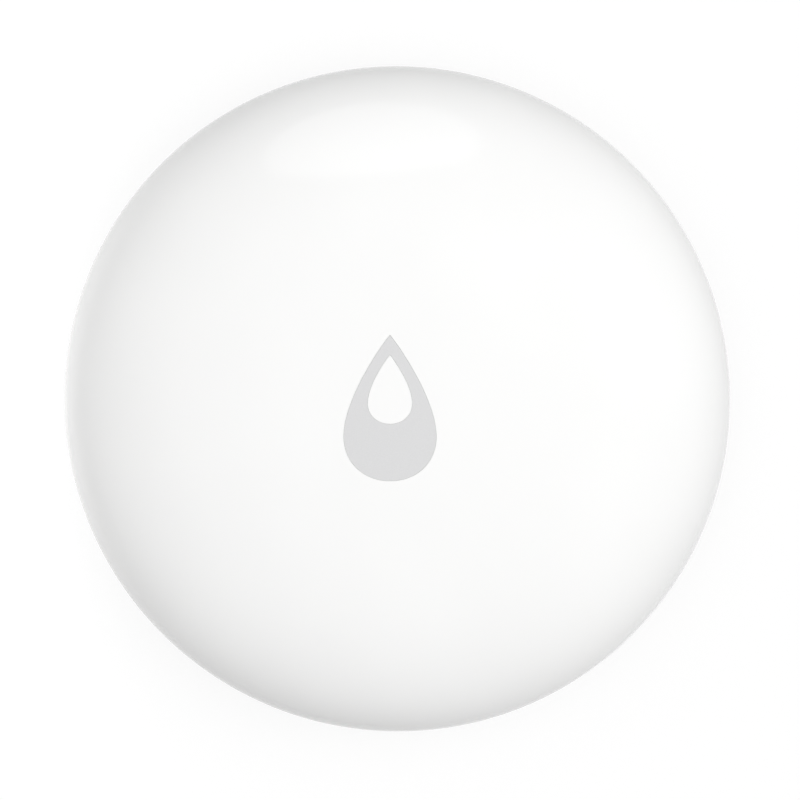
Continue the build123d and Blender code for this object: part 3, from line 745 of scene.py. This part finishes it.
class Finish:
    """A procedural finish: patterns of the place on the object that drive one shader."""

    def __init__(self, slot):
        self.material = bpy.data.materials.new(slot)
        self.material.use_nodes = True
        self.tree = self.material.node_tree
        self.shader = self.tree.nodes["Principled BSDF"]
        self.place = self.add("ShaderNodeTexCoord").outputs["Object"]

    def add(self, kind, inputs=None, **settings):
        """A node with its settings, and its inputs set or linked."""
        made = self.tree.nodes.new(kind)
        for key, value in settings.items():
            setattr(made, key, value)
        self.feed(made, inputs or {})
        return made

    def feed(self, node, inputs):
        """Sets a node's inputs, and links those whose value is a socket."""
        for key, value in inputs.items():
            if isinstance(value, bpy.types.NodeSocket):
                self.tree.links.new(value, node.inputs[key])
            else:
                node.inputs[key].default_value = value

    def shade(self, **inputs):
        """Sets the shader's inputs, whose names are written with underscores here."""
        self.feed(self.shader, {key.replace("_", " "): value for key, value in inputs.items()})

    def sum(self, operation, *values):
        """A value worked out from others."""
        made = self.add("ShaderNodeMath", dict(enumerate(values)), operation=operation)
        return made.outputs["Value"]

    def squares(self, first, second):
        """Two values squared and added."""
        return self.sum("ADD", self.sum("MULTIPLY", first, first), self.sum("MULTIPLY", second, second))

    def least(self, values):
        """The smallest of several values."""
        smallest = values[0]
        for value in values[1:]:
            smallest = self.sum("MINIMUM", smallest, value)
        return smallest

    def axis(self):
        """The three coordinates of the place, in millimetres."""
        inputs = {0: self.place, "Scale": 1 / MM}
        scaled = self.add("ShaderNodeVectorMath", inputs, operation="SCALE").outputs["Vector"]
        return self.add("ShaderNodeSeparateXYZ", {0: scaled}).outputs

    def stretched(self, lengths):
        """The place divided by a length along each axis, in millimetres."""
        inputs = {0: self.place, 1: tuple(1 / (length * MM) for length in lengths)}
        return self.add("ShaderNodeVectorMath", inputs, operation="MULTIPLY").outputs[0]

    def noise(self, size=None, detail=2.0, place=None):
        """Soft noise, from nothing to one, with features of a size, or of one along a given place."""
        scale = 1 / (size * MM) if size else 1.0
        inputs = {"Vector": place or self.place, "Scale": scale, "Detail": detail}
        return self.add("ShaderNodeTexNoise", inputs).outputs[0]

    def cells(self, size):
        """Distance to the nearest of many scattered points, a size apart in millimetres."""
        inputs = {"Vector": self.place, "Scale": 1 / (size * MM)}
        return self.add("ShaderNodeTexVoronoi", inputs).outputs["Distance"]

    def spread(self, value, low, high, start=0.3, end=0.7):
        """The value carried from one range to another, and held at its ends."""
        inputs = {"Value": value, "From Min": start, "From Max": end, "To Min": low, "To Max": high}
        return self.add("ShaderNodeMapRange", inputs).outputs["Result"]

    def blend(self, share, first, second):
        """A colour between two colours, by a share."""
        mix = self.add("ShaderNodeMix", data_type="RGBA")
        for place, colour in ((MIX_FIRST, first), (MIX_SECOND, second)):
            fixed = not isinstance(colour, bpy.types.NodeSocket)
            self.feed(mix, {place: (*colour, 1) if fixed else colour})
        self.feed(mix, {0: share})
        return mix.outputs[MIX_RESULT]

    def mottled(self, pattern, colour, darkest, lightest=1.0, **ends):
        """A colour made darker and lighter by a pattern, between two shares of itself."""
        share = self.spread(pattern, 0, 1, **ends)
        return self.blend(share, shade_of(colour, darkest), shade_of(colour, lightest))

    def raised(self, height, rise, over=None):
        """A normal bent by a height pattern whose full rise is in millimetres."""
        inputs = {"Height": height, "Distance": rise * MM, "Strength": 1.0}
        if over:
            inputs["Normal"] = over
        return self.add("ShaderNodeBump", inputs).outputs["Normal"]

    def waves(self):
        """A normal bent by the long soft waves of a polished moulding."""
        return self.raised(self.noise(size=WAVE_SIZE, detail=1.0), rise=WAVE_RISE)

    def rings(self, pitch, side=0.0):
        """Fine uneven rings about an upright axis at a distance along X, or its mirror place."""
        x, y, _ = self.axis()
        out = self.sum("SUBTRACT", self.sum("ABSOLUTE", x), side) if side else x
        steps = self.sum("DIVIDE", self.sum("SQRT", self.squares(out, y)), pitch)
        inputs = {"W": steps, "Scale": 1.0, "Detail": 3.0}
        return self.add("ShaderNodeTexNoise", inputs, noise_dimensions="1D").outputs[0]


def shade_of(colour, factor):
    """A colour made lighter or darker by a factor, and never lighter than white."""
    return tuple(min(1.0, value * factor) for value in colour)


def glossy_shell(slot, colour):
    """Polished moulded plastic: near even white, a breath of flow in its gloss, long soft waves."""
    finish = Finish(slot)
    clouds = finish.noise(size=9.0, detail=1.0)
    haze = finish.noise(size=1.6, detail=3.0)
    finish.shade(
        Base_Color=finish.mottled(clouds, colour, darkest=0.985),
        Roughness=finish.spread(haze, low=0.05, high=0.085),
        Normal=finish.raised(finish.noise(size=0.25), rise=0.00006, over=finish.waves()),
        IOR=1.58,
    )
    return finish.material


def inlay(slot, colour):
    """The grey inlay: the crown's gloss a little softened, with very fine pigment in it."""
    finish = Finish(slot)
    pigment = finish.noise(size=0.08)
    finish.shade(
        Base_Color=finish.mottled(pigment, colour, darkest=0.975, lightest=1.02),
        Roughness=finish.spread(finish.noise(size=0.9), low=0.1, high=0.16),
        Normal=finish.raised(pigment, rise=0.0001, over=finish.waves()),
        IOR=1.5,
    )
    return finish.material


def sparked(slot, colour, grain=0.16, rise=0.006, gloss=(0.42, 0.58)):
    """Spark-eroded mould texture: scattered pits and bumps, and gloss that varies with them."""
    finish = Finish(slot)
    pits = finish.cells(grain)
    fine = finish.noise(size=grain / 2)
    clouds = finish.noise(size=12.0)
    finish.shade(
        Base_Color=finish.mottled(clouds, colour, darkest=0.97),
        Roughness=finish.spread(fine, *gloss),
        Normal=finish.raised(finish.sum("ADD", pits, fine), rise),
        IOR=1.5,
    )
    return finish.material


def rubber(slot, colour):
    """Moulded silicone: even, soft gloss, with a bloom of paler dust in its low places."""
    finish = Finish(slot)
    dust = finish.noise(size=0.9, detail=4.0)
    finish.shade(
        Base_Color=finish.mottled(dust, colour, darkest=1.0, lightest=1.5, start=0.5, end=0.75),
        Roughness=finish.spread(finish.noise(size=0.3), low=0.5, high=0.68),
        Normal=finish.raised(finish.noise(size=0.07), rise=0.003),
        IOR=1.42,
    )
    return finish.material


def turned_metal(slot, colour, pitch=0.09, side=0.0, gloss=(0.16, 0.32)):
    """Turned or spun metal: uneven fine rings about its axis, with faint stains."""
    finish = Finish(slot)
    rings = finish.rings(pitch, side)
    stains = finish.noise(size=2.2, detail=3.0)
    finish.shade(
        Base_Color=finish.mottled(stains, colour, darkest=0.93, lightest=1.03),
        Metallic=1.0,
        Roughness=finish.spread(rings, *gloss),
        Normal=finish.raised(rings, rise=0.0012),
    )
    return finish.material


def rolled_metal(slot, colour, lengths=(9.0, 0.09, 0.09), gloss=(0.2, 0.36), tarnish=0.9):
    """Rolled sheet metal: long scratches along its grain and a slow change of tone."""
    finish = Finish(slot)
    grain = finish.noise(place=finish.stretched(lengths))
    tone = finish.noise(size=1.8, detail=3.0)
    finish.shade(
        Base_Color=finish.mottled(tone, colour, darkest=tarnish, lightest=1.03),
        Metallic=1.0,
        Roughness=finish.spread(grain, *gloss),
        Normal=finish.raised(grain, rise=0.0012),
    )
    return finish.material


def powder(slot, colour):
    """Pressed powder: dull, with grains of two tones."""
    finish = Finish(slot)
    grains = finish.cells(0.12)
    finish.shade(
        Base_Color=finish.mottled(grains, colour, darkest=0.7, lightest=1.6, start=0.2, end=0.6),
        Roughness=finish.spread(grains, low=0.8, high=0.95),
        Normal=finish.raised(grains, rise=0.01),
    )
    return finish.material


def soft_metal(slot, colour):
    """A soft pressed metal: dull, smeared and slightly stained."""
    finish = Finish(slot)
    smears = finish.noise(detail=4.0, place=finish.stretched((3.0, 0.5, 1.0)))
    finish.shade(
        Base_Color=finish.mottled(smears, colour, darkest=0.8, lightest=1.1),
        Metallic=0.8,
        Roughness=finish.spread(smears, low=0.45, high=0.65),
        Normal=finish.raised(smears, rise=0.004),
    )
    return finish.material


def clear_plastic(slot, colour):
    """Clear moulded plastic with a faint haze."""
    finish = Finish(slot)
    finish.shade(
        Base_Color=finish.mottled(finish.noise(size=1.2), colour, darkest=0.97),
        Roughness=finish.spread(finish.noise(size=0.6), low=0.03, high=0.1),
        Normal=finish.raised(finish.noise(size=0.8, detail=1.0), rise=0.001),
        Transmission_Weight=0.9,
        IOR=1.58,
    )
    return finish.material


def track_bundle(finish, along, across, jogs, patch):
    """Even parallel tracks that shift sideways at each jog, kept where the patch is one."""
    for start, end in jogs:
        across = finish.sum("ADD", across, finish.spread(along, 0, end - start, start, end))
    nearness = finish.sum("PINGPONG", finish.sum("DIVIDE", across, TRACK_PITCH), 0.5)
    half = TRACK_WIDTH / TRACK_PITCH / 2
    track = finish.spread(nearness, 1, 0, half * (1 - TRACK_SOFTNESS), half * (1 + TRACK_SOFTNESS))
    return finish.sum("MULTIPLY", track, patch)


def circuit(slot, colour):
    """Solder mask over copper: bundles of raised tracks with slanting jogs, tinned holes and rings."""
    finish = Finish(slot)
    x, y, _ = finish.axis()
    ground = finish.noise(size=PATCH_SIZE, detail=0.0)
    patch = finish.spread(ground, 0, 1, *LENGTHWISE_PATCH)
    lengthwise = track_bundle(finish, x, y, LENGTHWISE_JOGS, patch)
    patch = finish.spread(ground, 1, 0, *CROSSWISE_PATCH)
    crosswise = track_bundle(finish, y, x, CROSSWISE_JOGS, patch)
    off_antenna = finish.spread(y, 0, 1, ANTENNA_FIELD - ANTENNA_EDGE, ANTENNA_FIELD)
    copper = finish.sum("MULTIPLY", finish.sum("MAXIMUM", lengthwise, crosswise), off_antenna)
    bosses = []
    for angle in BOSS_ANGLES:
        out_x = finish.sum("SUBTRACT", x, BOSS_CIRCLE * math.cos(angle))
        out_y = finish.sum("SUBTRACT", y, BOSS_CIRCLE * math.sin(angle))
        bosses.append(finish.squares(out_x, out_y))
    rings = finish.spread(finish.least(bosses), 1, 0, (TIN_RADIUS - TIN_EDGE) ** 2, TIN_RADIUS ** 2)
    reach = HOLE_RADIUS / HOLE_PITCH
    holes = finish.spread(finish.cells(HOLE_PITCH), 1, 0, reach * HOLE_EDGE_SHARE, reach)
    tin = finish.sum("MAXIMUM", rings, holes)
    mask = finish.blend(copper, colour, shade_of(colour, TRACK_GLOW))
    finish.shade(
        Base_Color=finish.blend(tin, mask, TIN_COLOUR),
        Metallic=tin,
        Roughness=finish.spread(finish.noise(size=0.5, detail=3.0), low=0.24, high=0.36),
        Normal=finish.raised(finish.sum("ADD", copper, tin), COPPER_RISE),
    )
    return finish.material


def chip_part(slot, colour, middles):
    """Small chip parts: a coated body, and tinned ends beyond a half length from each middle."""
    finish = Finish(slot)
    x = finish.axis()[0]
    out = finish.least([finish.sum("ABSOLUTE", finish.sum("SUBTRACT", x, middle)) for middle in middles])
    end = finish.spread(out, 0, 1, CHIP_HALF - CHIP_EDGE, CHIP_HALF + CHIP_EDGE)
    grain = finish.noise(size=0.06)
    body = finish.mottled(grain, colour, darkest=0.88, lightest=1.1)
    finish.shade(
        Base_Color=finish.blend(end, body, CHIP_END_COLOUR),
        Metallic=end,
        Roughness=finish.spread(grain, low=0.3, high=0.45),
        Normal=finish.raised(grain, rise=0.004),
    )
    return finish.material


def banded_case(slot, colour):
    """A moulded capacitor case with the usual darker bar across its positive end."""
    finish = Finish(slot)
    bar = finish.spread(finish.axis()[0], 0, 1, TANK_BAR - TANK_BAR_EDGE, TANK_BAR + TANK_BAR_EDGE)
    grain = finish.noise(size=0.09)
    body = finish.mottled(grain, colour, darkest=0.93, lightest=1.05)
    finish.shade(
        Base_Color=finish.blend(bar, body, TANK_BAR_COLOUR),
        Roughness=finish.spread(grain, low=0.4, high=0.55),
        Normal=finish.raised(grain, rise=0.004),
    )
    return finish.material


COLOURS = {row["slot"]: tuple(row["base_color"][:3]) for row in record["materials"]}
MAKERS = {
    "shell_white": (glossy_shell, {}),
    "mark_grey": (inlay, {}),
    "base_white": (sparked, {"rise": 0.014}),
    "seal_rubber": (rubber, {}),
    "probe_steel": (turned_metal, {"side": PROBE_PLACE}),
    "can_steel": (turned_metal, {"pitch": 0.16, "gloss": (0.2, 0.34)}),
    "grommet_nylon": (sparked, {"grain": 0.1, "rise": 0.002, "gloss": (0.35, 0.5)}),
    "cathode_powder": (powder, {}),
    "anode_metal": (soft_metal, {}),
    "contact_steel": (rolled_metal, {"lengths": (0.09, 7.0, 7.0)}),
    "strip_bronze": (rolled_metal, {"tarnish": 0.85}),
    "clip_steel": (rolled_metal, {"gloss": (0.26, 0.4)}),
    "board_green": (circuit, {}),
    "screw_steel": (rolled_metal, {"lengths": (0.5, 0.5, 0.06), "gloss": (0.22, 0.38)}),
    "switch_black": (sparked, {"grain": 0.09, "rise": 0.003}),
    "switch_steel": (rolled_metal, {"lengths": (0.06, 4.0, 0.06)}),
    "actuator_white": (sparked, {"grain": 0.2, "rise": 0.002, "gloss": (0.3, 0.42)}),
    "guide_clear": (clear_plastic, {}),
    "lamp_white": (sparked, {"grain": 0.06, "rise": 0.001, "gloss": (0.3, 0.4)}),
    "lamp_lens": (clear_plastic, {}),
    "chip_black": (sparked, {"grain": 0.07, "rise": 0.003, "gloss": (0.5, 0.65)}),
    "crystal_steel": (rolled_metal, {"lengths": (3.0, 0.06, 0.06)}),
    "tank_yellow": (banded_case, {}),
    "capacitor_tan": (chip_part, {"middles": CAPACITOR_MIDDLES}),
    "resistor_black": (chip_part, {"middles": RESISTOR_MIDDLES}),
    "antenna_copper": (rolled_metal, {"lengths": (2.0, 2.0, 0.1), "gloss": (0.3, 0.42), "tarnish": 0.8}),
}
FINISHES = {slot: maker(slot, COLOURS[slot], **sizes) for slot, (maker, sizes) in MAKERS.items()}
for row in record["subparts"]:
    mesh = nodes[row["node"]].data
    mesh.materials.clear()
    mesh.materials.append(FINISHES[row["material_slot"]])


# The fine surfaces, in place

around = clockwise(CROWN_AROUND)
shell = np.concatenate([crown_rows(), lathe(crown_profile(), around)])
add_surface("shell_crown", [shell], "housing", "shell_white", "top_shell")
sleeve = lathe(
    ring_section(SLEEVE_INNER, SLEEVE_OUTER, SLEEVE_BOTTOM, SLEEVE_ROOT, INNER_ROUND),
    clockwise(PROBE_AROUND),
    (0, BUTTON_OFFSET),
)
add_surface("press_sleeve", [sleeve], "housing", "shell_white", "top_shell", looped=True)
add_surface("shell_key", [key_rows()], "housing", "shell_white", "top_shell")
add_surface("drop_inlay", [mark_rows()], "housing", "mark_grey", "drop_mark", looped=True)
add_surface("cover_disc", [cover_rows()], "battery_cover", "base_white", "battery_cover")
lug_turns = 2 * math.pi * np.arange(LUG_COUNT) / LUG_COUNT
lugs = [lug_rows(turn) for turn in lug_turns]
add_surface("cover_lugs", lugs, "battery_cover", "base_white", "battery_cover")
add_surface("probe_pin_left", [probe_rows(-1)], "housing", "probe_steel", "probe_left")
add_surface("probe_pin_right", [probe_rows(1)], "housing", "probe_steel", "probe_right")
dome = lathe(dome_section(), clockwise(PROBE_AROUND), (0, BUTTON_OFFSET))
snap = add_surface("snap_dome", [dome], "housing", "switch_steel", "switch_dome")
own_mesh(snap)
leaf = add_surface("leaf_contact", [leaf_rows()], None, "contact_steel", "negative_contact")
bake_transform(leaf)


# Floor, light and camera


def worked_out(tree, operation, first, second):
    """A value worked out from two others, each a number or a socket."""
    made = tree.nodes.new("ShaderNodeMath")
    made.operation = operation
    for place, value in enumerate((first, second)):
        if isinstance(value, bpy.types.NodeSocket):
            tree.links.new(value, made.inputs[place])
        else:
            made.inputs[place].default_value = value
    return made.outputs["Value"]


def shown_flag(tree):
    """One for camera, mirror and see-through rays, and nothing for the rays that carry light."""
    path = tree.nodes.new("ShaderNodeLightPath")
    flag = path.outputs["Is Camera Ray"]
    for other in ("Is Glossy Ray", "Is Transmission Ray"):
        flag = worked_out(tree, "MAXIMUM", flag, path.outputs[other])
    return flag


def mixed(tree, share, first, second):
    """A shader between two shaders, by a share."""
    made = tree.nodes.new("ShaderNodeMixShader")
    for place, socket in enumerate((share, first, second)):
        tree.links.new(socket, made.inputs[place])
    return made.outputs[0]


def make_floor():
    """A pale matt floor that shows as white, keeps part of its shadow and is clear from below."""
    mesh = bpy.data.meshes.new("floor")
    corners = ((-1, -1), (1, -1), (1, 1), (-1, 1))
    places = [(x * FLOOR_SPREAD, y * FLOOR_SPREAD, -FLOOR_DROP) for x, y in corners]
    mesh.from_pydata(places, [], [(0, 1, 2, 3)])
    floor = bpy.data.objects.new("floor", mesh)
    bpy.context.scene.collection.objects.link(floor)
    material = bpy.data.materials.new("floor_pale")
    material.use_nodes = True
    tree = material.node_tree
    tree.nodes.clear()
    shown = shown_flag(tree)
    tone = tree.nodes.new("ShaderNodeMapRange")
    tone.inputs["To Min"].default_value = FLOOR_GIVEN
    tone.inputs["To Max"].default_value = FLOOR_SHOWN
    tree.links.new(shown, tone.inputs["Value"])
    diffuse = tree.nodes.new("ShaderNodeBsdfDiffuse")
    tree.links.new(tone.outputs["Result"], diffuse.inputs["Color"])
    white = tree.nodes.new("ShaderNodeEmission")
    share = worked_out(tree, "MULTIPLY", shown, 1 - FLOOR_SHADOW_SHARE)
    lit = mixed(tree, share, diffuse.outputs[0], white.outputs[0])
    clear = tree.nodes.new("ShaderNodeBsdfTransparent")
    back = tree.nodes.new("ShaderNodeNewGeometry").outputs["Backfacing"]
    sided = mixed(tree, back, lit, clear.outputs[0])
    output = tree.nodes.new("ShaderNodeOutputMaterial")
    tree.links.new(sided, output.inputs["Surface"])
    mesh.materials.append(material)


def direction(side, rise):
    """The unit direction at a compass angle and a rise, in degrees."""
    turn, lift = math.radians(side), math.radians(rise)
    return Vector((math.cos(turn) * math.cos(lift), math.sin(turn) * math.cos(lift), math.sin(lift)))


def make_world():
    """White light from the soft sides of the room, each falling off with a power of a cosine.

    It shows as plain white.
    """
    world = bpy.data.worlds.new("studio")
    bpy.context.scene.world = world
    world.use_nodes = True
    tree = world.node_tree
    way = tree.nodes.new("ShaderNodeTexCoord").outputs["Generated"]
    light = 0.0
    for side, rise, evenness, brightness in SOFT_SIDES.values():
        facing = tree.nodes.new("ShaderNodeVectorMath")
        facing.operation = "DOT_PRODUCT"
        facing.inputs[1].default_value = direction(side, rise)
        tree.links.new(way, facing.inputs[0])
        value = worked_out(tree, "MAXIMUM", facing.outputs["Value"], 0.0)
        value = worked_out(tree, "POWER", value, evenness)
        value = worked_out(tree, "MULTIPLY", value, brightness)
        light = worked_out(tree, "ADD", value, light)
    strength = tree.nodes.new("ShaderNodeMapRange")
    strength.inputs["To Max"].default_value = 1.0
    tree.links.new(light, strength.inputs["To Min"])
    tree.links.new(shown_flag(tree), strength.inputs["Value"])
    background = tree.nodes["Background"]
    background.inputs["Color"].default_value = (1, 1, 1, 1)
    tree.links.new(strength.outputs["Result"], background.inputs["Strength"])


def add_lamp(name, place, towards, shape, size, area, radiance):
    """A soft lamp in metres that faces back along a direction, as bright as its radiance says."""
    lamp = bpy.data.lights.new(name, "AREA")
    lamp.shape = shape
    lamp.size, lamp.size_y = size
    lamp.energy = radiance * math.pi * area
    placed = bpy.data.objects.new(name, lamp)
    placed.location = place
    placed.rotation_euler = towards.to_track_quat("Z", "Y").to_euler()
    placed.visible_camera = False
    bpy.context.scene.collection.objects.link(placed)


def make_lamps():
    """The round lamp beyond the object, and one that lights the floor at its left from just above."""
    side, rise, distance, width, radiance = FAR_LAMP
    towards = direction(side, rise)
    area = math.pi * width ** 2 / 4
    add_lamp("lamp_far", towards * distance, towards, "DISK", (width, width), area, radiance)
    place, width, length, radiance = FLOOR_LAMP
    place, size = Vector(place) * MM, (width * MM, length * MM)
    up = Vector((0.0, 0.0, 1.0))
    add_lamp("lamp_floor", place, up, "RECTANGLE", size, size[0] * size[1], radiance)


def make_camera():
    """A long lens almost straight above, with +Y up in the picture."""
    back = CAMERA_SIDE
    right = Vector((0, 1, 0)).cross(back).normalized()
    camera = bpy.data.cameras.new("camera")
    camera.lens = LENS
    placed = bpy.data.objects.new("camera", camera)
    turned = Matrix((right, back.cross(right), back)).transposed().to_4x4()
    placed.matrix_world = Matrix.Translation(AIM + back * CAMERA_DISTANCE) @ turned
    bpy.context.scene.collection.objects.link(placed)
    bpy.context.scene.camera = placed


make_floor()
make_world()
make_lamps()
make_camera()
bpy.context.scene.view_settings.view_transform = "Standard"
